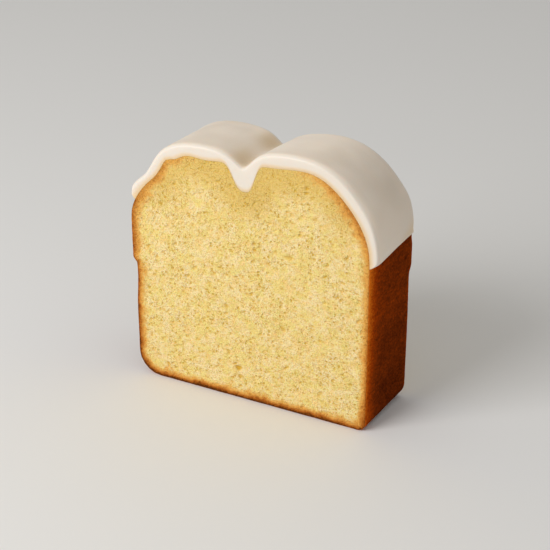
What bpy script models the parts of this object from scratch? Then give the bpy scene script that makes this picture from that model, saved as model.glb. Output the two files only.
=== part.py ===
"""One thick slice of an iced lemon loaf cake, standing upright on its base.

Metres, +Z up. The origin is under the middle of the slice, on the surface that it stands on.
X runs across the loaf and Y along it: the front cut faces -Y and the back cut faces +Y.

Two solids: the cake, crumb and crust in one piece, and the thick white icing set over its
domed top. Most sizes are pairs, at the front cut and at the back cut, because the loaf's
shape changes a little along the slice.
"""

import bpy
import bmesh
import numpy as np

# ---------------------------------------------------------------- driving sizes, in metres

THICKNESS = 0.0265       # from cut to cut
GAP = 0.0003             # between the cake's top and the icing

# The tin's sides, as distances from the middle of the loaf.
LEFT_SIDE = {
    "foot": (0.0430, 0.0421),       # just above the base's round corner
    "rim": (0.0439, 0.0432),        # above the step that the tin's rim left
    "step_height": (0.0434, 0.0456),
    "step_fade": (0.0024, 0.0036),  # height over which the step comes out
    "waist": (0.0007, 0.0004),      # how far the crust shrank in below the step
    "corner": (0.0082, 0.0060),     # radius of the base's corner
}
RIGHT_SIDE = {
    "foot": (0.0430, 0.0457),
    "rim": (0.0428, 0.0462),
    "step_height": (0.0520, 0.0490),
    "step_fade": (0.0030, 0.0050),
    "waist": (0.0001, 0.0002),
    "corner": (0.0030, 0.0050),
}
WAIST_DROP = 0.0050      # from the step down to the waist
WAIST_SPREAD = 0.0073    # half height of the waist

# The domed tops: an arch from rim to rim, with humps on it and the crack that opened in the
# oven. A hump is its height, its place across and its half width; a hollow's height is below 0.
CAKE_TOP = {
    "rim": (0.0594, 0.0600),        # height that the arch springs from
    "left": (-0.0437, -0.0430),
    "right": (0.0428, 0.0456),
    "rise": (0.0274, 0.0225),
    "left_power": (1.75, 1.75),     # 2 is an ellipse, more is squarer
    "right_power": (2.35, 2.35),
    "crack": (0.0098, 0.0096),
    "crack_x": (-0.0007, 0.0006),
    "crack_left_spread": (0.0052, 0.0050),
    "crack_right_spread": (0.0039, 0.0038),
    "crack_power": (3.0, 2.4),
}
CAKE_HUMPS = {
    "left": ((0.0009, 0.0048), (-0.0346, -0.0255), (0.0140, 0.0140)),
    "left_crown": ((0.0032, 0.0006), (-0.0230, -0.0230), (0.0064, 0.0064)),
    "left_corner": ((0.0028, 0.0010), (-0.0297, -0.0297), (0.0025, 0.0030)),
    "right": ((0.0040, 0.0056), (0.0251, 0.0265), (0.0122, 0.0150)),
}
ICING_TOP = {
    "rim": (0.0584, 0.0572),
    "left": (-0.0455, -0.0446),
    "right": (0.0457, 0.0464),
    "rise": (0.0335, 0.0277),
    "left_power": (1.75, 1.75),
    "right_power": (2.35, 2.44),
    "crack": (0.0070, 0.0051),
    "crack_x": (-0.0015, -0.0002),
    "crack_left_spread": (0.0065, 0.0038),
    "crack_right_spread": (0.0048, 0.0044),
    "crack_power": (1.3, 1.26),
}
ICING_HUMPS = {
    "left": ((0.0053, 0.0090), (-0.0319, -0.0288), (0.0148, 0.0224)),
    "left_hollow": ((-0.0027, -0.0010), (-0.0380, -0.0374), (0.0036, 0.0040)),
    "right": ((0.0036, 0.0079), (0.0295, 0.0286), (0.0169, 0.0246)),
    "right_corner": ((0.0, 0.0016), (0.0454, 0.0454), (0.0026, 0.0026)),
}

# The icing ends in a round foot on each side, at these heights.
ICING_FOOT_LEFT = (0.0652, 0.0640)
ICING_FOOT_RIGHT = (0.0595, 0.0605)
FOOT_ROUND = 0.0022      # length over which the foot comes up to full thickness
EDGE_ROUND = 0.0011      # radius where the icing's top turns into its cut
THINNEST = 0.0003        # least icing left by the rounding

# How finely the curves are stepped.
FINE_STEPS = 900         # points that a dome is worked out at before it is spaced
TOP_STEPS = 96
ICING_STEPS = 92
CRACK_DETAIL = (2.5, 0.0060)     # how much closer the points are in the crack, and how far out
FOOT_DETAIL = (4.0, 0.0020)      # the same at the icing's feet
STEP_DETAIL = (4.0, 0.0030)      # the same at the step in the sides
SIDE_STEPS = 24
CORNER_STEPS = 6
BODY_SECTIONS = 4
EDGE_TURNS = (0.0, 35.0, 90.0)      # degrees round the icing's soft edge

SHARP = np.radians(35.0)         # edges that turn by more than this look sharp

CRUMB_COLOUR = (0.84, 0.62, 0.25)
CRUMB_ROUGHNESS = 0.85
ICING_COLOUR = (0.86, 0.75, 0.62)
ICING_ROUGHNESS = 0.42


def blend(pair, along):
    """A size part of the way from the front cut (0) to the back cut (1)."""
    front, back = pair
    return front + (back - front) * along


def blend_all(sizes, along):
    """Every size of a table, part of the way along the slice."""
    return {name: blend(pair, along) for name, pair in sizes.items()}


def smooth_step(value):
    """0 below 0, 1 above 1, and a smooth S between."""
    value = np.clip(value, 0.0, 1.0)
    return value * value * (3.0 - 2.0 * value)


def length_along(curve):
    """The length of an open curve up to each of its points."""
    return np.append(0.0, np.cumsum(np.linalg.norm(np.diff(curve[:, :2], axis=0), axis=1)))


def closer(detail, distance):
    """How much closer the points lie at a distance from a place that needs detail."""
    times, spread = detail
    return times * np.exp(-(distance / spread) ** 2)


def spaced(curve, count, density):
    """A curve in fewer points, set along its length in step with a density."""
    run = np.append(0.0, np.cumsum(np.diff(length_along(curve)) * density[1:]))
    places = np.linspace(0.0, run[-1], count)
    return np.column_stack([np.interp(places, run, column) for column in curve.T])


# ---------------------------------------------------------------- outlines

def dome(size, humps, along, angle):
    """Points of a domed top, for angles from pi (left rim) down to 0 (right rim).

    A superellipse arch from rim to rim, raised by bell-shaped humps and cut by a crack
    whose walls fall away as exp(-|x|^power), each side at its own spread.
    """
    size = blend_all(size, along)
    across = np.cos(angle)
    power = np.where(across < 0.0, size["left_power"], size["right_power"])
    middle = (size["left"] + size["right"]) / 2.0
    half = (size["right"] - size["left"]) / 2.0
    x = middle + half * np.sign(across) * np.abs(across) ** (2.0 / power)
    z = size["rim"] + size["rise"] * np.abs(np.sin(angle)) ** (2.0 / power)
    for hump in humps.values():
        height, middle, spread = [blend(pair, along) for pair in hump]
        z = z + height * np.exp(-((x - middle) / spread) ** 2)
    from_crack = x - size["crack_x"]
    spread = np.where(from_crack < 0.0, size["crack_left_spread"], size["crack_right_spread"])
    z = z - size["crack"] * np.exp(-np.abs(from_crack / spread) ** size["crack_power"])
    return np.column_stack((x, z))


def side_reach(size, z):
    """How far a side stands out from the middle: foot and waist, then the step to the rim."""
    step = smooth_step((z - size["step_height"]) / size["step_fade"] + 0.5)
    waist_at = size["step_height"] - WAIST_DROP
    waist = size["waist"] * np.exp(-((z - waist_at) / WAIST_SPREAD) ** 2)
    return (size["foot"] - waist) * (1.0 - step) + size["rim"] * step


def side_and_corner(size, top):
    """One side from its top down to the base, as distances out from the middle."""
    corner = size["corner"]
    z = np.linspace(top, corner, FINE_STEPS)
    density = 1.0 + closer(STEP_DETAIL, z - size["step_height"])
    side = spaced(np.column_stack((side_reach(size, z), z)), SIDE_STEPS + 1, density)[1:-1]
    turn = np.linspace(0.0, np.pi / 2.0, CORNER_STEPS)
    centre = side_reach(size, corner) - corner
    round_corner = np.column_stack((centre + corner * np.cos(turn), corner - corner * np.sin(turn)))
    return np.vstack((side, round_corner))


def cake_outline(along):
    """The closed outline of crumb and crust: dome, right side, flat base, left side."""
    curve = dome(CAKE_TOP, CAKE_HUMPS, along, np.linspace(np.pi, 0.0, FINE_STEPS))
    from_crack = curve[:, 0] - blend(CAKE_TOP["crack_x"], along)
    top = spaced(curve, TOP_STEPS, 1.0 + closer(CRACK_DETAIL, from_crack))
    right = side_and_corner(blend_all(RIGHT_SIDE, along), top[-1, 1])
    left = side_and_corner(blend_all(LEFT_SIDE, along), top[0, 1]) * (-1.0, 1.0)
    return np.vstack((top, right, left[::-1]))


def outward(points):
    """Unit normals of an open curve that runs from left to right, pointing up and out."""
    tangent = np.gradient(points, axis=0)
    normal = np.column_stack((-tangent[:, 1], tangent[:, 0]))
    return normal / np.linalg.norm(normal, axis=1)[:, None]


def foot_angle(size, height, side):
    """The dome's angle from its rim, where its arch passes a height."""
    return np.arcsin(((height - size["rim"]) / size["rise"]) ** (size[side + "_power"] / 2.0))


def icing_outline(along, edge_turn):
    """The closed outline of the icing: its top from left to right, then its underside.

    The underside follows the cake's dome at the gap. The top leaves it in a round foot
    at each end, and near a cut it draws in round the soft edge.
    """
    cake = blend_all(CAKE_TOP, along)
    left = foot_angle(cake, blend(ICING_FOOT_LEFT, along), "left")
    right = foot_angle(cake, blend(ICING_FOOT_RIGHT, along), "right")
    angle = np.linspace(np.pi - left, right, FINE_STEPS)
    surface = dome(CAKE_TOP, CAKE_HUMPS, along, angle)
    under = surface + outward(surface) * GAP
    layer = dome(ICING_TOP, ICING_HUMPS, along, angle) - under
    depth = np.linalg.norm(layer, axis=1)

    run = length_along(under)
    from_end = np.minimum(run, run[-1] - run)
    foot = np.sqrt(1.0 - (1.0 - np.minimum(from_end / FOOT_ROUND, 1.0)) ** 2)
    drawn_in = EDGE_ROUND * (1.0 - np.sin(np.radians(edge_turn)))
    kept = np.maximum(depth * foot - drawn_in * foot, THINNEST * foot)
    over = under + layer * (kept / depth)[:, None]
    density = 1.0 + closer(CRACK_DETAIL, under[:, 0] - cake["crack_x"]) + closer(FOOT_DETAIL, from_end)
    both = spaced(np.hstack((under, over)), ICING_STEPS, density)
    return np.vstack((both[:, 2:], both[-2:0:-1, :2]))


# ---------------------------------------------------------------- solids

def section_places():
    """Each section's y and its turn round the icing's soft edge, from front to back."""
    edge = [(EDGE_ROUND * (1.0 - np.cos(np.radians(turn))), turn) for turn in EDGE_TURNS]
    body = np.linspace(0.0, THICKNESS, BODY_SECTIONS + 1)[1:-1]
    front = [(depth - THICKNESS / 2.0, turn) for depth, turn in edge]
    middle = [(depth - THICKNESS / 2.0, EDGE_TURNS[-1]) for depth in body]
    back = [(-y, turn) for y, turn in reversed(front)]
    return front + middle + back


def loft(name, outlines, places, colour, roughness):
    """A solid from closed outlines that all have the same number of points."""
    bm = bmesh.new()
    rings = []
    for outline, (y, _turn) in zip(outlines, places):
        rings.append([bm.verts.new((x, y, z)) for x, z in outline])
    for near, far in zip(rings, rings[1:]):
        for i in range(len(near)):
            bm.faces.new((near[i - 1], near[i], far[i], far[i - 1]))
    bm.faces.new(rings[0])
    bm.faces.new(rings[-1])
    bmesh.ops.recalc_face_normals(bm, faces=bm.faces)

    mesh = bpy.data.meshes.new(name)
    bm.to_mesh(mesh)
    bm.free()
    mesh.shade_smooth()
    mesh.set_sharp_from_angle(angle=SHARP)
    mesh.materials.append(plain_material(name, colour, roughness))
    solid = bpy.data.objects.new(name, mesh)
    bpy.context.scene.collection.objects.link(solid)
    return solid


def plain_material(name, colour, roughness):
    """A Principled material with one colour."""
    material = bpy.data.materials.new(name)
    material.use_nodes = True
    shader = material.node_tree.nodes["Principled BSDF"]
    shader.inputs["Base Color"].default_value = (*colour, 1.0)
    shader.inputs["Roughness"].default_value = roughness
    shader.inputs["Metallic"].default_value = 0.0
    return material


def main():
    for old in list(bpy.data.objects):
        bpy.data.objects.remove(old, do_unlink=True)

    places = section_places()
    along = [y / THICKNESS + 0.5 for y, _turn in places]
    cake_rings = [cake_outline(a) for a in along]
    icing_rings = [icing_outline(a, turn) for a, (_y, turn) in zip(along, places)]
    cake = loft("cake", cake_rings, places, CRUMB_COLOUR, CRUMB_ROUGHNESS)
    icing = loft("icing", icing_rings, places, ICING_COLOUR, ICING_ROUGHNESS)

    # The slice is a little wider to the right at the back, so it is centred as a whole.
    every_x = np.concatenate([ring[:, 0] for ring in cake_rings + icing_rings])
    middle = (every_x.min() + every_x.max()) / 2.0
    for solid in (cake, icing):
        solid.location.x = -middle


main()
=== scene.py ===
"""The finish of a slice of iced lemon loaf cake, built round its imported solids.

The cake is one closed skin: two cut faces full of crumb pores, and the baked outside between
them. The icing is a second closed skin, a soft-edged band over the domed top. Both follow the
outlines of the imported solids, so they keep its sizes and places.

X runs across the loaf, Y along it, Z up, in metres. The front cut faces -Y.
"""

import bmesh
import bpy
import numpy as np
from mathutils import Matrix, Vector


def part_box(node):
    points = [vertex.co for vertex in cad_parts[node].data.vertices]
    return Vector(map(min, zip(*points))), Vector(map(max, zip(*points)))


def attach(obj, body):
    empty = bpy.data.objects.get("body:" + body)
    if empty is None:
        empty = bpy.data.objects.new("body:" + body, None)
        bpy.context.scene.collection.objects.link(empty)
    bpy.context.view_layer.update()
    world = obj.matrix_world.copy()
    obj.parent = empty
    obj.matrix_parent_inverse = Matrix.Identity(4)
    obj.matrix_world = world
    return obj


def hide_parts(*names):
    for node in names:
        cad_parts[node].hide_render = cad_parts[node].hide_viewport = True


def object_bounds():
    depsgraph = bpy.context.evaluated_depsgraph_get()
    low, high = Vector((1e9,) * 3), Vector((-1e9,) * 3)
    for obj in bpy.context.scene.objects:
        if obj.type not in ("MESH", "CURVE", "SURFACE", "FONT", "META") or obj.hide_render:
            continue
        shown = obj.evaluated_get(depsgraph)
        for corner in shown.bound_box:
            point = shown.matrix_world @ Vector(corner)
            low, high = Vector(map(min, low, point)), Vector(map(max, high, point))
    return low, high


bl_info = {
    "name": "Iced loaf slice",
    "version": (1, 0, 0),
    "blender": (4, 5, 0),
    "location": "3D View > Sidebar > Loaf slice",
    "description": "Builds a slice of iced lemon loaf cake and the stage that it stands on",
    "category": "Mesh",
}

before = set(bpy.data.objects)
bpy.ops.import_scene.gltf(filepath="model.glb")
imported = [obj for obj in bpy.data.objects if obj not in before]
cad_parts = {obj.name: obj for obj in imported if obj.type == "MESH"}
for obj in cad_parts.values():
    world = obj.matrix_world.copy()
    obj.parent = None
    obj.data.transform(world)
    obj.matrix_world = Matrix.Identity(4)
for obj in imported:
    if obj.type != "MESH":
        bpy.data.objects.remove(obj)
CAD_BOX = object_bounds()
FRONT, BACK = CAD_BOX[0].y, CAD_BOX[1].y
THICKNESS = BACK - FRONT
ICING_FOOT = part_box("icing")[0].z
MIDDLE = np.array((0.0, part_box("cake")[1].z / 2.0))

BODY = "root"
MM = 0.001
SAME_PLACE = 1e-6        # points nearer than this are one point
SAME_SECTION = 5e-6      # points nearer than this along the loaf lie on one section
OUTLINE_POINTS = 6000    # points that an outline is worked out at before it is spaced
OUTLINE_EASE = 0.3 * MM  # corners of a packed outline are eased over this width
LATTICE = 96             # the noise repeats after this many cells


# ---------------------------------------------------------------- helpers on whole arrays

def smooth_step(value):
    """0 below 0, 1 above 1, and 3v^2 - 2v^3 between."""
    value = np.clip(value, 0.0, 1.0)
    return value * value * (3.0 - 2.0 * value)


def eased(values, width, mode):
    """A row of values averaged under a bell of that width in steps, which rounds its corners."""
    steps = np.arange(-3 * width, 3 * width + 1)
    bell = np.exp(-0.5 * (steps / width) ** 2)
    extra = {"reflect_type": "odd"} if mode == "reflect" else {}
    padded = np.pad(values, 3 * width, mode=mode, **extra)
    return np.convolve(padded, bell / bell.sum(), mode="valid")


def lattice(seed):
    """A block of random numbers from 0 to 1, one for each cell of a noise."""
    return np.random.default_rng(seed).random((LATTICE, LATTICE, LATTICE), dtype=np.float32)


def noise(points, cell, seed):
    """Smooth random values from -1 to 1: each cell's corners blended by smooth steps."""
    table = lattice(seed)
    place = points / cell
    low = np.floor(place).astype(int)
    part = smooth_step(place - low)
    total = np.zeros(len(points))
    for corner in np.ndindex(2, 2, 2):
        share = np.prod(np.where(corner, part, 1.0 - part), axis=1)
        at = (low + corner) % LATTICE
        total += share * table[at[:, 0], at[:, 1], at[:, 2]]
    return 2.0 * total - 1.0


def pits(points, cell, share, radius, seed):
    """Round hollows: one ball in a share of the cells, and how deep each point lies in a ball.

    The depth is (1 - (distance / radius)^2) times the radius, 0 outside every ball.
    """
    tables = [lattice(seed + i) for i in range(5)]
    low = np.floor(points / cell).astype(int)
    deepest = np.zeros(len(points))
    for step in np.ndindex(3, 3, 3):
        here = low + step - 1
        at = here % LATTICE
        x, y, z, size, chance = [t[at[:, 0], at[:, 1], at[:, 2]] for t in tables]
        centre = (here + np.column_stack((x, y, z))) * cell
        ball = radius[0] + (radius[1] - radius[0]) * size ** 2
        gap = np.sum((points - centre) ** 2, axis=1) / ball ** 2
        deepest = np.maximum(deepest, np.where(chance < share, (1.0 - gap) * ball, 0.0))
    return deepest


# ---------------------------------------------------------------- outlines read from the frame

def node_points(node):
    """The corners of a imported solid, each one once."""
    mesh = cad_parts[node].data
    points = np.empty(len(mesh.vertices) * 3)
    mesh.vertices.foreach_get("co", points)
    return np.unique(np.round(points.reshape(-1, 3) / SAME_PLACE), axis=0) * SAME_PLACE


def section(node, y):
    """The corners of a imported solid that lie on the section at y, as (x, z)."""
    points = node_points(node)
    return points[np.abs(points[:, 1] - y) < SAME_SECTION][:, (0, 2)]


def polar(points):
    """The angle of each point round the loaf's middle, and its distance from there."""
    arm = points - MIDDLE
    return np.arctan2(arm[:, 1], arm[:, 0]), np.hypot(arm[:, 0], arm[:, 1])


def length_along(curve):
    """The length of an open curve up to each of its points."""
    return np.append(0.0, np.cumsum(np.linalg.norm(np.diff(curve, axis=0), axis=1)))


def evenly(curve, count):
    """An open curve in that many steps of the same length."""
    run = length_along(curve)
    places = np.linspace(0.0, run[-1], count + 1)
    return np.column_stack([np.interp(places, run, column) for column in curve.T])


def smooth_outline(points):
    """The closed outline through a section's points in the order of their angles, corners eased."""
    angle, _far = polar(points)
    ring = points[np.argsort(angle)]
    ring = evenly(np.vstack((ring, ring[:1])), OUTLINE_POINTS)[:-1]
    step = length_along(ring)[-1] / OUTLINE_POINTS
    width = int(round(OUTLINE_EASE / step))
    return np.column_stack([eased(column, width, "wrap") for column in ring.T])


def ring_in_step(outline, across, up):
    """The outline in steps that match those of a grid: base, right side, dome, left side.

    It is cut at the two corners of the base, at the two places as high as the icing's foot
    and at the bottom of the crack, and each stretch is stepped evenly.
    """
    x, z = outline.T
    upper = np.where((np.abs(x) < 0.25 * x.max()) & (z > MIDDLE[1]), z, np.inf)
    level = np.abs(z - ICING_FOOT)
    cuts = [
        np.argmin(x + z),
        np.argmax(x - z),
        np.argmin(np.where(x > 0.0, level, np.inf)),
        np.argmin(upper),
        np.argmin(np.where(x < 0.0, level, np.inf)),
    ]
    start = cuts[0]
    turned = np.roll(outline, -start, axis=0)
    turned = np.vstack((turned, turned[:1]))
    ends = [(cut - start) % len(outline) for cut in cuts] + [len(outline)]
    counts = (across, up, across // 2, across // 2, up)
    parts = [
        evenly(turned[a:b + 1], count)[:-1]
        for a, b, count in zip(ends, ends[1:], counts)
    ]
    return np.vstack(parts)


def outward(ring):
    """Unit normals of a closed outline that runs anticlockwise, pointing away from its inside."""
    tangent = np.roll(ring, -1, axis=-2) - np.roll(ring, 1, axis=-2)
    normal = np.stack((tangent[..., 1], -tangent[..., 0]), axis=-1)
    return normal / np.linalg.norm(normal, axis=-1, keepdims=True)


def blend(front, back, share):
    """Values part of the way from the front's to the back's."""
    return front * (1.0 - share) + back * share


def cake_rings(across, up):
    """The cake's outline at both cuts, in step with each other."""
    return [ring_in_step(smooth_outline(section("cake", y)), across, up) for y in (FRONT, BACK)]


# ---------------------------------------------------------------- meshes and materials

def quads(grid):
    """The four-sided faces of a grid of vertex numbers, wound along its columns then its rows."""
    return np.stack((grid[:-1, :-1], grid[1:, :-1], grid[1:, 1:], grid[:-1, 1:]), -1).reshape(-1, 4)


def skin(name, points, faces, attributes, material):
    """A smooth mesh object from arrays, with one number per point for each attribute."""
    mesh = bpy.data.meshes.new(name)
    mesh.vertices.add(len(points))
    mesh.vertices.foreach_set("co", points.ravel())
    mesh.loops.add(faces.size)
    mesh.loops.foreach_set("vertex_index", faces.ravel())
    mesh.polygons.add(len(faces))
    mesh.polygons.foreach_set("loop_start", np.arange(0, faces.size, 4))
    mesh.polygons.foreach_set("loop_total", np.full(len(faces), 4))
    mesh.update(calc_edges=True)
    for key, values in attributes.items():
        mesh.attributes.new(key, "FLOAT", "POINT").data.foreach_set("value", values)
    bm = bmesh.new()
    bm.from_mesh(mesh)
    bmesh.ops.remove_doubles(bm, verts=bm.verts, dist=SAME_PLACE)
    bm.to_mesh(mesh)
    bm.free()
    mesh.shade_smooth()
    mesh.materials.append(material)
    piece = bpy.data.objects.new(name, mesh)
    bpy.context.scene.collection.objects.link(piece)
    return piece


def settle(piece, node):
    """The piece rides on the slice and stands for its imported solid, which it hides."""
    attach(piece, BODY)
    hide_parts(node)


class Paint:
    """A Principled material and short ways to add nodes to it."""

    def __init__(self, name):
        self.material = bpy.data.materials.new(name)
        self.material.use_nodes = True
        self.nodes = self.material.node_tree.nodes
        self.links = self.material.node_tree.links
        self.shader = self.nodes["Principled BSDF"]
        self.place = self.nodes.new("ShaderNodeTexCoord").outputs["Object"]

    def join(self, value, socket):
        """Links an output to a socket, or sets the socket to a number."""
        if isinstance(value, bpy.types.NodeSocket):
            self.links.new(value, socket)
        else:
            socket.default_value = value

    def attribute(self, name):
        """A number that the mesh holds for each of its points."""
        node = self.nodes.new("ShaderNodeAttribute")
        node.attribute_name = name
        return node.outputs["Fac"]

    def noise(self, size, detail=2.0, output="Fac", place=None):
        """A noise whose blotches are about that many metres across."""
        node = self.nodes.new("ShaderNodeTexNoise")
        node.inputs["Scale"].default_value = 1.0 / size
        node.inputs["Detail"].default_value = detail
        self.join(place or self.place, node.inputs["Vector"])
        return node.outputs[output]

    def stretched(self, along):
        """The place, with what is drawn on it that many times longer along the loaf."""
        node = self.nodes.new("ShaderNodeVectorMath")
        node.operation = "MULTIPLY"
        self.join(self.place, node.inputs[0])
        node.inputs[1].default_value = (1.0, 1.0 / along, 1.0)
        return node.outputs["Vector"]

    def bent(self, size, amount):
        """The place, shifted by a noise, so that round shapes come out ragged."""
        node = self.nodes.new("ShaderNodeVectorMath")
        node.operation = "MULTIPLY_ADD"
        self.join(self.noise(size, 1.0, "Color"), node.inputs[0])
        node.inputs[1].default_value = (amount, amount, amount)
        self.join(self.place, node.inputs[2])
        return node.outputs["Vector"]

    def cells(self, size, place):
        """Distance to the nearest of many scattered points, 0 at a point, in cell sizes."""
        node = self.nodes.new("ShaderNodeTexVoronoi")
        node.inputs["Scale"].default_value = 1.0 / size
        self.join(place, node.inputs["Vector"])
        return node.outputs["Distance"]

    def math(self, operation, first, second):
        """Two values added, multiplied, or whatever the operation says."""
        node = self.nodes.new("ShaderNodeMath")
        node.operation = operation
        self.join(first, node.inputs[0])
        self.join(second, node.inputs[1])
        return node.outputs[0]

    def between(self, value, low, high, to_low=0.0, to_high=1.0):
        """The value mapped from one range to another by a smooth step."""
        node = self.nodes.new("ShaderNodeMapRange")
        node.interpolation_type = "SMOOTHSTEP"
        for socket, number in zip(node.inputs, (value, low, high, to_low, to_high)):
            self.join(number, socket)
        return node.outputs["Result"]

    def mix(self, amount, first, second):
        """A blend of two colours."""
        node = self.nodes.new("ShaderNodeMix")
        node.data_type = "RGBA"
        self.join(amount, node.inputs["Factor"])
        for name, colour in (("A", first), ("B", second)):
            socket = next(s for s in node.inputs if s.name == name and s.type == "RGBA")
            self.join(colour if isinstance(colour, bpy.types.NodeSocket) else (*colour, 1.0), socket)
        return next(s for s in node.outputs if s.type == "RGBA")

    def ramp(self, value, stops):
        """A colour for a value: stops are (value, colour) pairs in rising order."""
        node = self.nodes.new("ShaderNodeValToRGB")
        elements = node.color_ramp.elements
        while len(elements) < len(stops):
            elements.new(1.0)
        for element, (position, colour) in zip(elements, stops):
            element.position = position
            element.color = (*colour, 1.0)
        self.join(value, node.inputs["Fac"])
        return node.outputs["Color"]

    def bump(self, height, depth):
        """Fine relief that deep in metres, from a height of 0 to 1."""
        node = self.nodes.new("ShaderNodeBump")
        node.inputs["Distance"].default_value = depth
        self.join(height, node.inputs["Height"])
        return node.outputs["Normal"]

    def finish(self, **inputs):
        """Sets the shader's own inputs, where _ in a name stands for a space."""
        for name, value in inputs.items():
            self.join(value, self.shader.inputs[name.replace("_", " ")])
        return self.material


# ---------------------------------------------------------------- cake

# How the loaf browned: at these degrees round its middle, from the left side down round the
# base, up the right side and over the dome, how dark the rim of the cut is, how far in it
# goes, in millimetres, and how suddenly it ends.
BROWNING = {
    "angle": (-180, -150, -135, -125, -90, -55, -46, -36, 0, 22,
              32, 45, 58, 75, 110, 122, 130, 150, 162, 180),
    "dark": (0.98, 1.00, 1.00, 1.00, 1.00, 1.00, 0.90, 0.76, 0.68, 0.64,
             0.64, 0.63, 0.54, 0.14, 0.14, 0.38, 0.53, 0.57, 0.76, 0.98),
    "depth": (2.2, 2.3, 2.7, 2.8, 2.8, 2.7, 2.4, 2.1, 2.1, 2.4,
              3.6, 3.9, 3.4, 3.0, 3.2, 3.3, 3.3, 3.7, 3.0, 2.2),
    "power": (1.0, 1.2, 1.7, 1.8, 1.8, 1.8, 1.6, 1.4, 1.1, 1.1,
              1.8, 2.0, 1.6, 1.0, 1.0, 1.6, 2.4, 2.3, 1.6, 1.0),
}

# The crumb's pores, coarse to fine: the side of a cell, the share of the cells that hold a
# pore, its least and largest radius as shares of the largest pore's, and the seed.
PORES = (
    (4.4 * MM, 0.18, 0.55, 0.90, 20),
    (2.3 * MM, 0.65, 0.40, 0.68, 30),
    (1.3 * MM, 0.70, 0.28, 0.45, 40),
)

# The crumb grows firmer towards the rim of a cut over this width, where it keeps this share
# of its relief.
FIRM_WIDTH = 2.5 * MM
FIRM_SHARE = 0.35

# The crust is painted lighter and more orange beside the front cut, as painted light, and darkens
# to its own colour over the first length behind it; it pales again over the second before the
# back cut. Below this height it is painted darker, most of all beside the front cut, as painted
# shade.
FRONT_LIGHT_FADE = 3.9 * MM
BACK_FADE = 0.5 * MM
LOW_SHADE_HEIGHT = 45.0 * MM
LOW_SHADE_FADE = 3.5 * MM


class CakeSettings(bpy.types.PropertyGroup):
    """Sizes and colours of the crumb and crust."""

    columns: bpy.props.IntProperty(
        name="Columns", description="Steps across a cut face", default=194, min=20, max=400)
    rows: bpy.props.IntProperty(
        name="Rows", description="Steps up a cut face", default=182, min=20, max=400)
    bands: bpy.props.IntProperty(
        name="Bands", description="Steps along the crust from cut to cut", default=32, min=6, max=80)
    edge: bpy.props.FloatProperty(
        name="Edge", description="Radius where the crust turns into a cut",
        default=0.25 * MM, min=0.0, unit="LENGTH", subtype="DISTANCE")
    iced_edge: bpy.props.FloatProperty(
        name="Edge under the icing", description="Radius of the edge that the icing covers",
        default=0.05 * MM, min=0.0, unit="LENGTH", subtype="DISTANCE")
    shy: bpy.props.FloatProperty(
        name="Shy", description="How far the crumb lies behind the icing's cut at the least",
        default=0.04 * MM, min=0.0, unit="LENGTH", subtype="DISTANCE")
    pore: bpy.props.FloatProperty(
        name="Pore", description="Radius of the largest pores in the crumb",
        default=1.25 * MM, min=0.0, unit="LENGTH", subtype="DISTANCE")
    pore_depth: bpy.props.FloatProperty(
        name="Pore depth", description="How deep a pore is, as a share of its ball",
        default=0.42, min=0.0, max=1.0, subtype="FACTOR")
    crumb: bpy.props.FloatVectorProperty(
        name="Crumb", description="Colour of the crumb", size=3, subtype="COLOR",
        default=(0.915, 0.719, 0.262), min=0.0, max=1.0)
    pale_crumb: bpy.props.FloatVectorProperty(
        name="Pale crumb", description="Colour of the crumb's creamy patches", size=3,
        subtype="COLOR", default=(0.965, 0.765, 0.390), min=0.0, max=1.0)
    peach_crumb: bpy.props.FloatVectorProperty(
        name="Peach crumb", description="Colour of the crumb's warmer patches", size=3,
        subtype="COLOR", default=(0.952, 0.692, 0.285), min=0.0, max=1.0)
    # Painted shade: the crumb down in a pore is drawn darker and more golden, for light shaded and
    # bounced there.
    pore_shade_colour: bpy.props.FloatVectorProperty(
        name="Pores", description="Colour inside the pores", size=3, subtype="COLOR",
        default=(0.70, 0.410, 0.048), min=0.0, max=1.0)
    golden_crumb: bpy.props.FloatVectorProperty(
        name="Golden crumb", description="Colour of the crumb right under the dome", size=3,
        subtype="COLOR", default=(0.80, 0.56, 0.176), min=0.0, max=1.0)
    golden: bpy.props.FloatVectorProperty(
        name="Golden", description="Colour of the lightly baked rim", size=3, subtype="COLOR",
        default=(0.86, 0.58, 0.18), min=0.0, max=1.0)
    amber: bpy.props.FloatVectorProperty(
        name="Amber", description="Colour of the baked rim", size=3, subtype="COLOR",
        default=(0.80, 0.405, 0.092), min=0.0, max=1.0)
    tan: bpy.props.FloatVectorProperty(
        name="Tan", description="Colour of the well baked rim", size=3, subtype="COLOR",
        default=(0.58, 0.225, 0.040), min=0.0, max=1.0)
    rust: bpy.props.FloatVectorProperty(
        name="Rust", description="Colour of the rim's red-brown edge", size=3, subtype="COLOR",
        default=(0.42, 0.120, 0.015), min=0.0, max=1.0)
    brown: bpy.props.FloatVectorProperty(
        name="Brown", description="Colour of the darkest rim", size=3, subtype="COLOR",
        default=(0.115, 0.034, 0.006), min=0.0, max=1.0)
    # Painted light: the orange and red crust colours stand for light on the side beside the front
    # cut.
    lit_edge_crust: bpy.props.FloatVectorProperty(
        name="Orange crust", description="Colour of the crust right beside the front cut",
        size=3, subtype="COLOR", default=(0.86, 0.205, 0.014), min=0.0, max=1.0)
    half_lit_edge_crust: bpy.props.FloatVectorProperty(
        name="Red crust", description="Colour of the crust a little behind the front cut",
        size=3, subtype="COLOR", default=(0.43, 0.058, 0.0028), min=0.0, max=1.0)
    crust: bpy.props.FloatVectorProperty(
        name="Crust", description="Colour of the crust", size=3, subtype="COLOR",
        default=(0.20, 0.031, 0.0036), min=0.0, max=1.0)
    # Painted shade: the darkest crust is reached mostly through the painted shade low down, and
    # partly through blotches.
    dark_crust: bpy.props.FloatVectorProperty(
        name="Dark crust", description="Colour of the darkest crust", size=3, subtype="COLOR",
        default=(0.085, 0.013, 0.0025), min=0.0, max=1.0)


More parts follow.
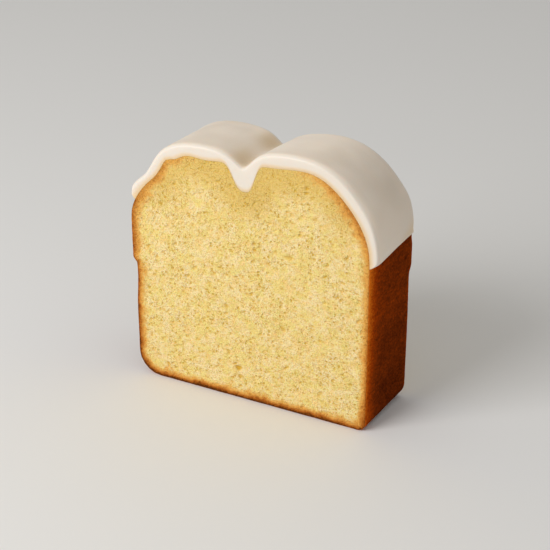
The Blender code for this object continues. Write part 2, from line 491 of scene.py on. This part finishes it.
def coons(ring, across, up):
    """A grid over the inside of a closed outline, by the rule of Coons.

    It blends base to dome and left side to right side, adds the two and takes away the
    blend of the four corners.
    """
    base = ring[:across + 1]
    right = ring[across:across + up + 1]
    dome = ring[across + up:2 * across + up + 1][::-1]
    left = np.vstack((ring[2 * across + up:], ring[:1]))[::-1]
    u = np.linspace(0.0, 1.0, across + 1)[:, None, None]
    v = np.linspace(0.0, 1.0, up + 1)[None, :, None]
    upright = base[:, None] * (1.0 - v) + dome[:, None] * v
    level = left[None] * (1.0 - u) + right[None] * u
    low = base[0] * (1.0 - u) + base[-1] * u
    high = dome[0] * (1.0 - u) + dome[-1] * u
    return upright + level - low * (1.0 - v) - high * v


def rim_numbers(grid):
    """The numbers round the rim of a grid: base, right side, dome backwards, left side down."""
    return np.concatenate((grid[:-1, 0], grid[-1, :-1], grid[:0:-1, -1], grid[0, :0:-1]))


def nearest_on(points, ring):
    """For each point, its distance from an outline and the number of the nearest outline point."""
    far = np.empty(len(points))
    number = np.empty(len(points), int)
    block = 4000    # points worked out at a time, to spare memory
    for start in range(0, len(points), block):
        part = points[start:start + block]
        gaps = np.hypot(part[:, None, 0] - ring[None, :, 0], part[:, None, 1] - ring[None, :, 1])
        number[start:start + block] = gaps.argmin(axis=1)
        far[start:start + block] = gaps.min(axis=1)
    return far, number


def cake_band(rings, edge, bands):
    """The baked outside from cut to cut, row by row: points and outward directions.

    The outline is a straight blend from front to back. Round a soft edge, at a turn from 0 at
    the cut to 90 degrees at the crust, it is drawn in by edge (1 - sin turn), edge (1 - cos
    turn) behind the cut, and its outward direction leans towards the cut by cos turn.
    """
    turns = 4
    turn = np.linspace(0.0, np.pi / 2.0, turns + 1)[:, None]
    inset = edge * (1.0 - np.sin(turn))
    depth = edge * (1.0 - np.cos(turn))
    body = np.linspace(0.0, 1.0, bands - 2 * turns + 1)[1:-1, None]
    y_front, y_back = FRONT + depth, BACK - depth[::-1]
    y = np.vstack((y_front, blend(y_front[-1], y_back[0], body), y_back))
    inset = np.vstack((inset, np.zeros((len(body), len(edge))), inset[::-1]))
    lean = np.vstack((np.cos(turn), np.zeros((len(body), 1)), -np.cos(turn[::-1])))
    upright = np.sqrt(1.0 - lean ** 2)

    outline = blend(*rings, ((y - FRONT) / THICKNESS)[..., None])
    normal = outward(outline)
    flat = outline - normal * inset[..., None]
    points = np.stack((flat[..., 0], y, flat[..., 1]), -1)
    lean = np.broadcast_to(-lean, y.shape)
    return points, np.stack((normal[..., 0] * upright, lean, normal[..., 1] * upright), -1)


def cake_surface(size):
    """The skin before its relief: points, outward directions, faces and what each point knows.

    The cut faces are Coons grids inside the first and last rows of the band, whose other rows
    join them. A point knows its distance from the rim of its cut, 0 on the band, and its angle
    round the loaf's middle.
    """
    across, up = size.columns, size.rows
    rings = cake_rings(across, up)
    # The edge is sharper under the icing, and the change is eased over a few steps.
    edge = np.where(rings[0][:, 1] > ICING_FOOT - MM, size.iced_edge, size.edge)
    band, band_aims = cake_band(rings, eased(edge, 6, "wrap"), size.bands)

    count = (across + 1) * (up + 1)
    cuts, from_rim, number = [], [], []
    for ring, row, y in ((rings[0], band[0], FRONT), (rings[1], band[-1], BACK)):
        grid = coons(row[:, (0, 2)], across, up).reshape(-1, 2)
        cuts.append(np.column_stack((grid[:, 0], np.full(count, y), grid[:, 1])))
        far, near = nearest_on(grid, ring)
        from_rim.append(far)
        number.append(near)

    front = np.arange(count).reshape(across + 1, up + 1)
    back = front + count
    middle = np.arange((len(band) - 2) * len(edge)).reshape(-1, len(edge)) + 2 * count
    rows = np.vstack((rim_numbers(front), middle, rim_numbers(back)))
    rows = np.hstack((rows, rows[:, :1]))
    faces = np.vstack((quads(front), quads(back)[:, ::-1], quads(rows)))
    points = np.vstack((*cuts, band[1:-1].reshape(-1, 3)))
    aims = np.vstack((
        np.tile((0.0, -1.0, 0.0), (count, 1)),
        np.tile((0.0, 1.0, 0.0), (count, 1)),
        band_aims[1:-1].reshape(-1, 3),
    ))
    from_rim.append(np.zeros(middle.size))
    number.append(np.tile(np.arange(len(edge)), len(middle)))
    angle, _far = polar(rings[0])
    return points, aims, faces, {
        "from_rim": np.concatenate(from_rim),
        "angle": angle[np.concatenate(number)],
    }


def crumb_relief(points, size):
    """How far the crumb lies below the cut, and how deep in a pore each point is, from 0 to 1.

    The deepest of balls of three sizes, their places bent by noise so that the hollows come
    out ragged, added to the slight waves and the roughness that the knife left.
    """
    bend = np.column_stack([noise(points, 1.5 * MM, 10 + i) for i in range(3)]) * 0.8 * MM
    bent = (points + bend) * (0.85, 1.0, 1.15)
    hollow = np.max([
        pits(bent, cell, share, (least * size.pore, most * size.pore), seed)
        for cell, share, least, most, seed in PORES
    ], axis=0)
    waves = 0.5 + 0.5 * noise(points, 6.0 * MM, 50)
    rough = 0.5 + 0.5 * noise(points, 0.9 * MM, 51)
    depth = hollow * size.pore_depth + 0.15 * MM * waves + 0.15 * MM * rough
    return depth, np.clip(hollow / (0.45 * size.pore), 0.0, 1.0)


def crust_relief(points):
    """How far the baked skin lies below its outline: pebbles, dimples and small round craters."""
    drawn = points * (1.0, 0.75, 1.0)
    pebbles = 0.5 + 0.5 * noise(drawn, 0.9 * MM, 60)
    dimples = 0.5 + 0.5 * noise(drawn, 3.0 * MM, 61)
    craters = pits(points, 3.0 * MM, 0.25, (0.3 * MM, 0.8 * MM), 62)
    return 0.06 * MM * pebbles + 0.07 * MM * dimples + 0.35 * craters


def cake_relief(points, on_cut, know, size):
    """How far each point lies below the smooth skin, and how deep in a pore it is.

    The crumb's relief blends into the crust's as on_cut goes from 1 to 0 round a soft edge. On
    the cuts it shrinks towards the rim by a smooth step, to nothing where the icing covers it.
    """
    crumb, pore = crumb_relief(points, size)
    relief = blend(crust_relief(points), crumb, on_cut)
    iced = smooth_step((points[:, 2] - ICING_FOOT + MM) / MM)
    firm = smooth_step(know["from_rim"] / FIRM_WIDTH)
    relief *= np.where(on_cut > 0.99, blend(FIRM_SHARE * (1.0 - iced), 1.0, firm), 1.0)
    return relief + size.shy * on_cut, pore * on_cut


def browning(know, points):
    """How baked each point of a cut is, from 0, pale crumb, to 1, the darkest rim.

    It falls away from the rim as exp(-(distance / depth)^power), the distance made uneven by
    noise.
    """
    at = np.degrees(know["angle"])
    dark, depth, power = [np.interp(at, BROWNING["angle"], BROWNING[key])
                          for key in ("dark", "depth", "power")]
    ragged = 1.0 + 0.30 * noise(points, 4.0 * MM, 70) + 0.25 * noise(points, 1.6 * MM, 72)
    far = know["from_rim"] / MM
    return dark * np.exp(-(far * ragged / depth) ** power)


def glowing(know, points):
    """How golden the crumb is: exp(-(distance from the dome / 10 mm)^2), faintly clouded."""
    at = np.degrees(know["angle"])
    over = smooth_step((at - 20.0) / 30.0) * smooth_step((165.0 - at) / 30.0)
    return over * np.exp(-(know["from_rim"] / (10.0 * MM)) ** 2) + 0.12 * noise(points, 9.0 * MM, 74)


def crust_tone_and_painted_light(points):
    """How dark the outside is painted, from 0, painted light beside the front cut, to 1 for the
    darkest crust.

    It rises as 1 - exp(-(distance / fade)^1.2) behind the front cut, which paints light on the
    crust beside that cut, but not above 1 - 0.45 exp(-distance / fade) before the back cut.
    Low crust is painted darker by a smooth step of its height, as painted shade, and noise
    makes blotches.
    """
    behind = points[:, 1] - FRONT
    before = BACK - points[:, 1]
    # Painted light: the crust is drawn paler and more orange just behind the front cut.
    rise = 1.0 - np.exp(-(np.maximum(behind, 0.0) / FRONT_LIGHT_FADE) ** 1.2)
    rise = np.minimum(rise, 1.0 - 0.45 * np.exp(-np.maximum(before, 0.0) / BACK_FADE))
    # Painted shade: the crust is drawn darker low down, most of all beside the front cut.
    low = 1.0 - smooth_step(points[:, 2] / LOW_SHADE_HEIGHT)
    drawn = points * (1.0, 0.7, 1.0)
    blotches = 0.05 * noise(drawn, 6.0 * MM, 71) + 0.09 * noise(drawn, 1.3 * MM, 73)
    return 0.77 * rise + low * (0.12 + 0.17 * np.exp(-behind / LOW_SHADE_FADE)) + blotches


def cake_material(size):
    """Creamy yellow crumb with clustered golden pores in painted shade, browning to a red-brown
    crust.

    Each colour is mixed over the last by a noise between two levels. The rim is a ramp on how
    baked a point is, and the crust a ramp on its tone, with painted light beside the front cut
    and painted shade low down.
    """
    paint = Paint("crumb and crust")
    bent = paint.bent(0.8 * MM, 0.9 * MM)

    # Crumb: creamy and peachy patches, more golden under the dome.
    patches = paint.between(paint.noise(3.0 * MM, 3.0), 0.38, 0.62)
    crumb = paint.mix(patches, size.crumb, size.pale_crumb)
    peachy = paint.between(paint.noise(2.4 * MM, 2.0, place=bent), 0.50, 0.66)
    crumb = paint.mix(peachy, crumb, size.peach_crumb)
    crumb = paint.mix(paint.between(paint.attribute("glow"), 0.0, 1.0), crumb, size.golden_crumb)

    # Pores, in painted shade: those of the mesh and finer ones, in clusters, and golden patches
    # between them, all mixed towards the darker colour of a pore.
    fine_pore_shade = paint.between(paint.noise(0.55 * MM, 2.0), 0.50, 0.66, 0.0, 0.38)
    tiny = paint.between(paint.cells(0.8 * MM, bent), 0.34, 0.12, 0.0, 0.48)
    small = paint.between(paint.cells(1.7 * MM, bent), 0.32, 0.14, 0.0, 0.8)
    golden_patches = paint.between(paint.noise(2.6 * MM, 2.0, place=bent), 0.58, 0.76, 0.0, 0.34)
    hollow = paint.attribute("pore")
    for more in (fine_pore_shade, tiny, small):
        hollow = paint.math("MAXIMUM", hollow, more)
    clusters = paint.between(paint.noise(5.0 * MM, 2.0), 0.38, 0.62, 0.76, 1.12)
    hollow = paint.math("MAXIMUM", paint.math("MULTIPLY", hollow, clusters), golden_patches)

    # The browned rim of a cut, speckled, and painted darker in its pores as shade.
    speckle = paint.math("MULTIPLY", paint.math("SUBTRACT", paint.noise(0.9 * MM, 3.0), 0.5), 0.30)
    bake = paint.attribute("bake")
    uneven = paint.math("MULTIPLY", speckle, paint.between(bake, 0.0, 0.3))
    bake = paint.math("ADD", bake, uneven)
    bake = paint.math("ADD", bake, paint.math("MULTIPLY", hollow, 0.10))
    rim = paint.ramp(bake, (
        (0.10, size.golden), (0.45, size.amber), (0.64, size.tan), (0.80, size.rust),
        (0.96, size.brown)))
    # Painted shade in the pores.
    crumb = paint.mix(hollow, crumb, size.pore_shade_colour)
    colour = paint.mix(paint.between(bake, 0.08, 0.36), crumb, rim)

    # The crust, with its pebbles drawn out along the loaf, on a ramp from painted light beside
    # the front cut to painted shade low down.
    drawn = paint.stretched(1.3)
    pebbles = paint.math("SUBTRACT", paint.noise(0.7 * MM, 4.0, place=drawn), 0.5)
    crust_tone_with_painted_light = paint.math("ADD", paint.attribute("crust_tone_with_painted_light"), paint.math("MULTIPLY", pebbles, 0.7))
    crust = paint.ramp(crust_tone_with_painted_light, (
        (0.0, size.lit_edge_crust), (0.45, size.half_lit_edge_crust), (0.75, size.crust),
        (1.0, size.dark_crust)))
    outside = paint.attribute("outside")
    colour = paint.mix(outside, colour, crust)
    height = paint.math("SUBTRACT", paint.noise(0.5 * MM, 4.0), paint.math("MULTIPLY", hollow, 0.8))
    return paint.finish(
        Base_Color=colour,
        Roughness=paint.between(outside, 0.5, 0.9, 0.85, 0.6),
        Normal=paint.bump(height, 0.4 * MM),
        Subsurface_Weight=0.2,
        Subsurface_Radius=(1.6 * MM, 1.0 * MM, 0.4 * MM),
        Subsurface_Scale=1.0,
        Specular_IOR_Level=0.0,
    )


class LOAF_OT_cake(bpy.types.Operator):
    """Builds the slice's crumb and crust as one closed skin"""

    bl_idname = "loaf_slice.cake"
    bl_label = "Cake"

    def execute(self, context):
        size = context.scene.loaf_cake
        points, aims, faces, know = cake_surface(size)
        on_cut = aims[:, 1] ** 2
        relief, pore = cake_relief(points, on_cut, know, size)
        points = points - aims * relief[:, None]
        piece = skin("crumb_and_crust", points, faces, {
            "bake": browning(know, points),
            "glow": glowing(know, points),
            "crust_tone_with_painted_light": crust_tone_and_painted_light(points),
            "outside": 1.0 - on_cut,
            "pore": pore,
        }, cake_material(size))
        settle(piece, "cake")
        return {"FINISHED"}


# ---------------------------------------------------------------- icing

UPPER_GAP = 0.45 * MM               # icing farther than this from the cake's outline is its top
TOP_EASE = OUTLINE_POINTS // 160    # steps of the outline that the icing's top is eased over

# On the right the soft edges are longer by this share, from this place across the loaf on.
# The right end swells from the next place on, and the left end below the height after it.
# Each change takes the width beside it. Behind the front cut the top falls over FALL_LENGTH.
LONG_EDGE = 0.7
LONG_EDGE_FROM, LONG_EDGE_WIDTH = 25.0 * MM, 15.0 * MM
RIGHT_END_FROM, RIGHT_END_WIDTH = 36.0 * MM, 6.0 * MM
LEFT_END_BELOW, LEFT_END_WIDTH = 76.0 * MM, 8.0 * MM
FALL_LENGTH = 6.0 * MM

# Painted shade: how much darker the icing's top is painted from the front cut to the back one,
# for less light falling there, at these places across the loaf in millimetres.
BACK_SHADING = {
    "across": (-45, -20, -12, -6, 4, 10, 18, 26, 33, 45),
    "back_shade": (0.16, 0.22, 0.26, 0.00, 0.03, 0.06, 0.08, 0.22, 0.33, 0.25),
}

# Painted shade and warm bounced light in the crack, which is sought this near the middle: how
# far left of the crack's bottom it lies and how wide it is, and, along the loaf, how far in front
# of the middle the first of its darker spots lies and their spacing.
CRACK_REACH = 8.0 * MM
GROOVE_SHIFT = 1.5 * MM
GROOVE_WIDTH = 5.0 * MM
GROOVE_FIRST = 9.0 * MM
GROOVE_GAP = 17.5 * MM


class IcingSettings(bpy.types.PropertyGroup):
    """Sizes and colours of the icing."""

    steps: bpy.props.IntProperty(
        name="Steps", description="Steps over the dome from foot to foot", default=300, min=40)
    edge: bpy.props.FloatProperty(
        name="Edge", description="Depth of the soft edge where the icing's top meets its cut",
        default=1.1 * MM, min=0.0, unit="LENGTH", subtype="DISTANCE")
    edge_length: bpy.props.FloatProperty(
        name="Edge length", description="How far back from the cut the soft edge reaches",
        default=2.0 * MM, min=0.0, unit="LENGTH", subtype="DISTANCE")
    back_edge: bpy.props.FloatProperty(
        name="Back edge", description="The back cut's edge, as a share of the front cut's",
        default=0.45, min=0.05, max=1.0, subtype="FACTOR")
    foot: bpy.props.FloatProperty(
        name="Foot", description="Length over which the icing's foot comes up to full thickness",
        default=0.7 * MM, min=0.0, unit="LENGTH", subtype="DISTANCE")
    sink: bpy.props.FloatProperty(
        name="Sink", description="How far the icing reaches into the cake's top",
        default=0.12 * MM, min=0.0, unit="LENGTH", subtype="DISTANCE")
    waves: bpy.props.FloatProperty(
        name="Waves", description="Height of the soft waves that the icing set in",
        default=0.35 * MM, min=0.0, unit="LENGTH", subtype="DISTANCE")
    bulge: bpy.props.FloatProperty(
        name="Bulge", description="How far the top rises between its cuts",
        default=0.35 * MM, min=0.0, unit="LENGTH", subtype="DISTANCE")
    fall: bpy.props.FloatProperty(
        name="Fall", description="How far the top sinks towards the front cut",
        default=0.2 * MM, min=0.0, unit="LENGTH", subtype="DISTANCE")
    swell: bpy.props.FloatProperty(
        name="Swell", description="How much thicker the icing ends on the right, at the front",
        default=0.5 * MM, min=0.0, unit="LENGTH", subtype="DISTANCE")
    left_swell: bpy.props.FloatProperty(
        name="Left swell", description="How much thicker the icing ends on the left",
        default=1.0 * MM, min=0.0, unit="LENGTH", subtype="DISTANCE")
    colour: bpy.props.FloatVectorProperty(
        name="Icing", description="Colour of the icing's set top", size=3, subtype="COLOR",
        default=(0.935, 0.81, 0.67), min=0.0, max=1.0)
    cut_colour: bpy.props.FloatVectorProperty(
        name="Cut icing", description="Colour of the icing's cut", size=3, subtype="COLOR",
        default=(0.81, 0.73, 0.635), min=0.0, max=1.0)
    shade: bpy.props.FloatVectorProperty(
        name="Clouds", description="Colour of the top's faint clouds", size=3,
        subtype="COLOR", default=(0.85, 0.73, 0.59), min=0.0, max=1.0)
    # Painted shade: the colour that the top is drawn towards at the back.
    back_shade: bpy.props.FloatVectorProperty(
        name="Painted back shade", description="Colour that the top turns to towards the back", size=3,
        subtype="COLOR", default=(0.42, 0.365, 0.295), min=0.0, max=1.0)
    # Painted shade and warm bounced light down in the crack.
    painted_crack_shade: bpy.props.FloatVectorProperty(
        name="Groove", description="Colour down in the crack", size=3,
        subtype="COLOR", default=(0.74, 0.585, 0.395), min=0.0, max=1.0)
    warm: bpy.props.FloatVectorProperty(
        name="Against the cake", description="Colour where the crumb shows through", size=3,
        subtype="COLOR", default=(0.81, 0.575, 0.315), min=0.0, max=1.0)


def icing_layer(count):
    """Both sides of the icing at its two full sections: under and over curves in step.

    Both are read along rays from the loaf's middle. Their places along the dome go as
    0.75 t + 0.25 sin(90 degrees times t), for t from -1 to 1, which is closer at both feet.
    """
    rings = cake_rings(OUTLINE_POINTS // 4, OUTLINE_POINTS // 4)
    # The two sections next to each cut are drawn in by an edge, so the third ones are read.
    places = np.unique(np.round(node_points("icing")[:, 1], 5))[[2, -3]]
    under, over = [], []
    for y in places:
        outline = blend(*rings, (y - FRONT) / THICKNESS)
        points = section("icing", y)
        far, _number = nearest_on(points, outline)
        angle, radius = polar(points)
        left, right = angle.max(), angle.min()
        upper = far > UPPER_GAP
        order = np.argsort(angle[upper])
        ring_angle, ring_radius = polar(outline)
        ring_order = np.argsort(ring_angle)

        fine = np.linspace(left, right, OUTLINE_POINTS)
        low = np.interp(fine, ring_angle[ring_order], ring_radius[ring_order])
        high = np.interp(fine, angle[upper][order], radius[upper][order])
        high = eased(high, TOP_EASE, "reflect")
        spoke = np.column_stack((np.cos(fine), np.sin(fine)))
        low_curve = MIDDLE + spoke * low[:, None]
        high_curve = MIDDLE + spoke * np.maximum(high, low)[:, None]
        run = length_along((low_curve + high_curve) / 2.0)
        even = np.linspace(-1.0, 1.0, count + 1)
        even = 0.5 + 0.5 * (0.75 * even + 0.25 * np.sin(even * np.pi / 2.0))
        at = even * run[-1]
        under.append(np.column_stack([np.interp(at, run, c) for c in low_curve.T]))
        over.append(np.column_stack([np.interp(at, run, c) for c in high_curve.T]))
    return under, over, places


def icing_profile(depth, across, size):
    """The closed profile round the icing at each step over the dome: places along, shares up.

    It goes up the front cut, round a quarter ellipse into the top, along the top, round a
    second ellipse, down the back cut and back along the underside. The rows up a cut go as
    squares, so that they lie close together against the crumb.
    """
    straight, round_steps, top_steps = 7, 8, 40
    up = np.linspace(0.0, 1.0, straight + 1)[:, None] ** 2.0
    turn = np.linspace(0.0, np.pi / 2.0, round_steps + 1)[1:, None]
    level = np.linspace(0.0, 1.0, top_steps + 1)[1:-1, None]
    right = smooth_step((across - LONG_EDGE_FROM) / LONG_EDGE_WIDTH)

    shares, lengths, inwards = [], [], []
    for part in (1.0, size.back_edge):
        edge = np.minimum(part * size.edge, 0.7 * depth)
        rise = np.vstack((up * (depth - edge), depth - edge + edge * np.sin(turn)))
        shares.append(rise / np.maximum(depth, SAME_PLACE))
        lengths.append(size.edge_length * (1.0 + LONG_EDGE * right) * edge / size.edge)
        inwards.append(lengths[-1] * (1.0 - np.cos(turn)))
    flat_y = FRONT + lengths[0] + (THICKNESS - lengths[0] - lengths[1]) * level
    top_y = np.vstack((FRONT + inwards[0], flat_y, BACK - inwards[1][::-1]))
    cut = np.zeros((straight + 1, depth.size))
    y = np.vstack((cut + FRONT, top_y, cut + BACK, top_y[::-1]))
    share = np.vstack((shares[0], np.ones_like(flat_y), shares[1][::-1], np.zeros_like(top_y)))
    return y, share


def icing_drop(points, upright, size):
    """How far the icing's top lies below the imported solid's, or above it where less than 0.

    With p from 0 at the front cut to 1 at the back one: soft waves, fading out at the cuts,
    less a bulge of 4 p (1 - p) where the top faces up, plus a fall of (1 - distance / length)^2
    behind the front cut. Both ends swell by smooth steps, the right one by 1 - p.
    """
    flat = points.reshape(-1, 3)
    x, y, z = np.moveaxis(points, -1, 0)
    part = (y - FRONT) / THICKNESS
    wave = 0.5 + 0.5 * noise(flat, 13.0 * MM, 80).reshape(y.shape)
    dimple = 0.5 + 0.5 * noise(flat, 5.5 * MM, 81).reshape(y.shape)
    away = smooth_step(np.minimum(y - FRONT, BACK - y) / (5.0 * MM))
    drop = size.waves * (wave + 0.35 * dimple) * away
    drop -= size.bulge * 4.0 * part * (1.0 - part) * upright ** 2
    drop += size.fall * np.clip(1.0 - (y - FRONT) / FALL_LENGTH, 0.0, 1.0) ** 2
    drop -= size.swell * smooth_step((x - RIGHT_END_FROM) / RIGHT_END_WIDTH) * (1.0 - part)
    drop -= size.left_swell * smooth_step((LEFT_END_BELOW - z) / LEFT_END_WIDTH) * (x < 0.0)
    return drop


def crack_shade(y, run, over):
    """How much painted crack shade a point gets: exp(-(distance across / width)^2) in two spots.

    The spots are 0.55 + 0.45 cos(2 pi y / gap) along the loaf.
    """
    central = np.abs(over[:, 0]) < CRACK_REACH
    bottom = np.argmin(np.where(central, over[:, 1], np.inf))
    beside = (run - run[bottom] + GROOVE_SHIFT) / GROOVE_WIDTH
    spots = 0.55 + 0.45 * np.cos(2.0 * np.pi * (y + GROOVE_FIRST) / GROOVE_GAP)
    return np.exp(-beside ** 2) * spots


def icing_surface(size):
    """A closed band: the profile round the icing, carried over the dome from foot to foot.

    A point lies its share of the way from the under curve to the over curve, each a straight
    blend along the loaf. The share falls to nothing at a foot as the root of
    1 - (1 - run / foot)^2.
    """
    under, over, places = icing_layer(size.steps)
    run = length_along((under[0] + over[0]) / 2.0)
    from_end = np.minimum(run, run[-1] - run)
    foot = np.sqrt(1.0 - (1.0 - np.minimum(from_end / size.foot, 1.0)) ** 2)
    depth = np.linalg.norm(over[0] - under[0], axis=1) * foot
    y, share = icing_profile(depth, over[0][:, 0], size)
    share = share * foot

    along = ((y - places[0]) / (places[1] - places[0]))[..., None]
    lower = blend(*under, along)
    layer = blend(*over, np.clip(along, 0.0, 1.0)) - lower
    thick = np.linalg.norm(layer, axis=-1, keepdims=True)
    ray = layer / np.maximum(thick, SAME_PLACE)
    sunk = size.sink * foot * (1.0 - share)
    flat = lower + layer * share[..., None] - ray * sunk[..., None]
    points = np.stack((flat[..., 0], y, flat[..., 1]), -1)
    ray = np.stack((ray[..., 0], np.zeros_like(y), ray[..., 1]), -1)
    drop = icing_drop(points, ray[..., 2], size) * foot * smooth_step(share)
    points = np.clip(points - ray * drop[..., None], CAD_BOX[0], CAD_BOX[1])

    grid = np.arange(y.size).reshape(y.shape)
    faces = quads(np.vstack((grid, grid[:1])))[:, ::-1]
    part = (y - FRONT) / THICKNESS
    # Painted shade: how far the top is drawn towards the darker colour, growing towards the back.
    back_shade = np.interp(points[..., 0] / MM, BACK_SHADING["across"], BACK_SHADING["back_shade"]) * part ** 0.8
    return points.reshape(-1, 3), faces, {
        "from_cake": (share * thick[..., 0]).ravel() / MM,
        "from_cut": np.minimum(y - FRONT, BACK - y).ravel() / MM,
        # Painted shade in the crack.
        "painted_crack_shade": crack_shade(y, run, over[0]).ravel(),
        "back_shade": back_shade.ravel(),
    }


def icing_material(size):
    """Satin icing: a whiter cut, painted shade towards the back, painted warm shade in the groove
    and a warm line at the crumb.

    Each colour is mixed over the last by a noise or by what the mesh knows of a point.
    """
    paint = Paint("icing")
    clouds = paint.between(paint.noise(15.0 * MM, 0.5), 0.42, 0.72)
    top = paint.mix(clouds, size.colour, size.shade)
    # Painted shade towards the back of the top.
    top = paint.mix(paint.attribute("back_shade"), top, size.back_shade)
    # Painted shade in the crack.
    top = paint.mix(paint.attribute("painted_crack_shade"), top, size.painted_crack_shade)
    on_top = paint.between(paint.attribute("from_cut"), 0.2, 1.6)
    colour = paint.mix(on_top, size.cut_colour, top)
    near = paint.between(paint.attribute("from_cake"), 1.9, 0.0)
    colour = paint.mix(near, colour, size.warm)
    return paint.finish(
        Base_Color=colour,
        Roughness=0.42,
        Normal=paint.bump(paint.noise(1.2 * MM, 2.0), 0.03 * MM),
        Subsurface_Weight=0.3,
        Subsurface_Radius=(2.0 * MM, 1.5 * MM, 1.1 * MM),
        Subsurface_Scale=1.0,
        Specular_IOR_Level=0.4,
    )


class LOAF_OT_icing(bpy.types.Operator):
    """Builds the icing as one closed skin over the cake's dome"""

    bl_idname = "loaf_slice.icing"
    bl_label = "Icing"

    def execute(self, context):
        size = context.scene.loaf_icing
        points, faces, know = icing_surface(size)
        piece = skin("icing_layer", points, faces, know, icing_material(size))
        settle(piece, "icing")
        return {"FINISHED"}


# ---------------------------------------------------------------- stage

SENSOR = 36.0          # width of the camera's sensor, in millimetres
FLOOR_REACH = 2.0      # from the slice to an edge of the floor
LOOK_OFFSET = Vector((4.74, -5.5, -0.613)) * MM    # from the slice's middle to the view's


class StageSettings(bpy.types.PropertyGroup):
    """The floor, the lights and the camera."""

    floor: bpy.props.FloatVectorProperty(
        name="Floor", description="Colour of the floor", size=3, subtype="COLOR",
        default=(0.80, 0.79, 0.77), min=0.0, max=1.0)
    key: bpy.props.FloatProperty(
        name="Key light", description="Power of the large soft light, in watts", default=5.45)
    fill: bpy.props.FloatProperty(
        name="Sky", description="Strength of the even light from all round", default=0.48)
    azimuth: bpy.props.FloatProperty(
        name="Azimuth", description="Camera's direction round the slice, from the front cut",
        default=np.radians(27.24), unit="ROTATION", subtype="ANGLE")
    elevation: bpy.props.FloatProperty(
        name="Elevation", description="Camera's height above the horizon",
        default=np.radians(27.5), unit="ROTATION", subtype="ANGLE")
    distance: bpy.props.FloatProperty(
        name="Distance", description="From the camera to the point that it looks at",
        default=0.490, unit="LENGTH", subtype="DISTANCE")
    lens: bpy.props.FloatProperty(
        name="Lens", description="Focal length on a 36 mm sensor, in millimetres", default=98.18)


def direction(azimuth, elevation):
    """A unit vector from the slice towards a place at that azimuth and elevation."""
    flat = np.cos(elevation)
    return Vector((np.sin(azimuth) * flat, -np.cos(azimuth) * flat, np.sin(elevation)))


def area_light(name, target, azimuth, elevation, distance, side, power):
    """A square soft light that faces the slice from that way off, its angles in degrees."""
    light = bpy.data.lights.new(name, "AREA")
    light.energy = power
    light.size = side
    lamp = bpy.data.objects.new(name, light)
    away = direction(np.radians(azimuth), np.radians(elevation))
    lamp.location = target + away * distance
    lamp.rotation_euler = (-away).to_track_quat("-Z", "Y").to_euler()
    bpy.context.scene.collection.objects.link(lamp)


class LOAF_OT_stage(bpy.types.Operator):
    """Lays the floor and sets the lights and the camera"""

    bl_idname = "loaf_slice.stage"
    bl_label = "Stage"

    def execute(self, context):
        size = context.scene.loaf_stage
        scene = context.scene
        low, high = CAD_BOX
        middle = (low + high) / 2.0
        mesh = bpy.data.meshes.new("floor")
        corners = [(x * FLOOR_REACH, y * FLOOR_REACH, 0.0)
                   for x, y in ((-1, -1), (1, -1), (1, 1), (-1, 1))]
        mesh.from_pydata(corners, [], [(0, 1, 2, 3)])
        paint = Paint("floor")
        tone = paint.noise(0.25, 1.0)
        pale = tuple(size.floor)
        mesh.materials.append(paint.finish(
            Base_Color=paint.mix(tone, pale, tuple(0.97 * c for c in pale)), Roughness=0.9))
        floor = bpy.data.objects.new("floor", mesh)
        scene.collection.objects.link(floor)

        world = bpy.data.worlds.new("studio")
        world.use_nodes = True
        sky = world.node_tree.nodes["Background"]
        sky.inputs["Color"].default_value = (1.0, 0.99, 0.97, 1.0)
        sky.inputs["Strength"].default_value = size.fill
        scene.world = world
        area_light("key", middle, azimuth=-30.0, elevation=34.0, distance=0.9, side=0.50,
                   power=size.key)

        camera = bpy.data.cameras.new("camera")
        camera.lens = size.lens
        camera.sensor_width = SENSOR
        view = bpy.data.objects.new("camera", camera)
        away = direction(size.azimuth, size.elevation)
        view.location = middle + LOOK_OFFSET + away * size.distance
        view.rotation_euler = (-away).to_track_quat("-Z", "Y").to_euler()
        scene.collection.objects.link(view)
        scene.camera = view
        scene.view_settings.view_transform = "Standard"
        return {"FINISHED"}


class LOAF_PT_panel(bpy.types.Panel):
    """The sidebar panel"""

    bl_idname = "LOAF_PT_panel"
    bl_label = "Loaf slice"
    bl_space_type = "VIEW_3D"
    bl_region_type = "UI"
    bl_category = "Loaf slice"

    def draw(self, context):
        for operator, settings, group in STEPS:
            box = self.layout.box()
            values = getattr(context.scene, settings)
            for name in group.__annotations__:
                box.prop(values, name)
            box.operator(operator.bl_idname)


# Each operator in the order that they are called, with the name and class of its settings.
STEPS = (
    (LOAF_OT_cake, "loaf_cake", CakeSettings),
    (LOAF_OT_icing, "loaf_icing", IcingSettings),
    (LOAF_OT_stage, "loaf_stage", StageSettings),
)


def register():
    """Adds the settings, the operators and the panel to the session."""
    for operator, settings, group in STEPS:
        bpy.utils.register_class(group)
        setattr(bpy.types.Scene, settings, bpy.props.PointerProperty(type=group))
        bpy.utils.register_class(operator)
    bpy.utils.register_class(LOAF_PT_panel)


def unregister():
    """Takes away what register added, in the other order."""
    bpy.utils.unregister_class(LOAF_PT_panel)
    for operator, settings, group in reversed(STEPS):
        bpy.utils.unregister_class(operator)
        delattr(bpy.types.Scene, settings)
        bpy.utils.unregister_class(group)


def main():
    """Builds the pieces and the stage."""
    register()
    bpy.ops.loaf_slice.cake()
    bpy.ops.loaf_slice.icing()
    bpy.ops.loaf_slice.stage()


if __name__ == "__main__":
    main()
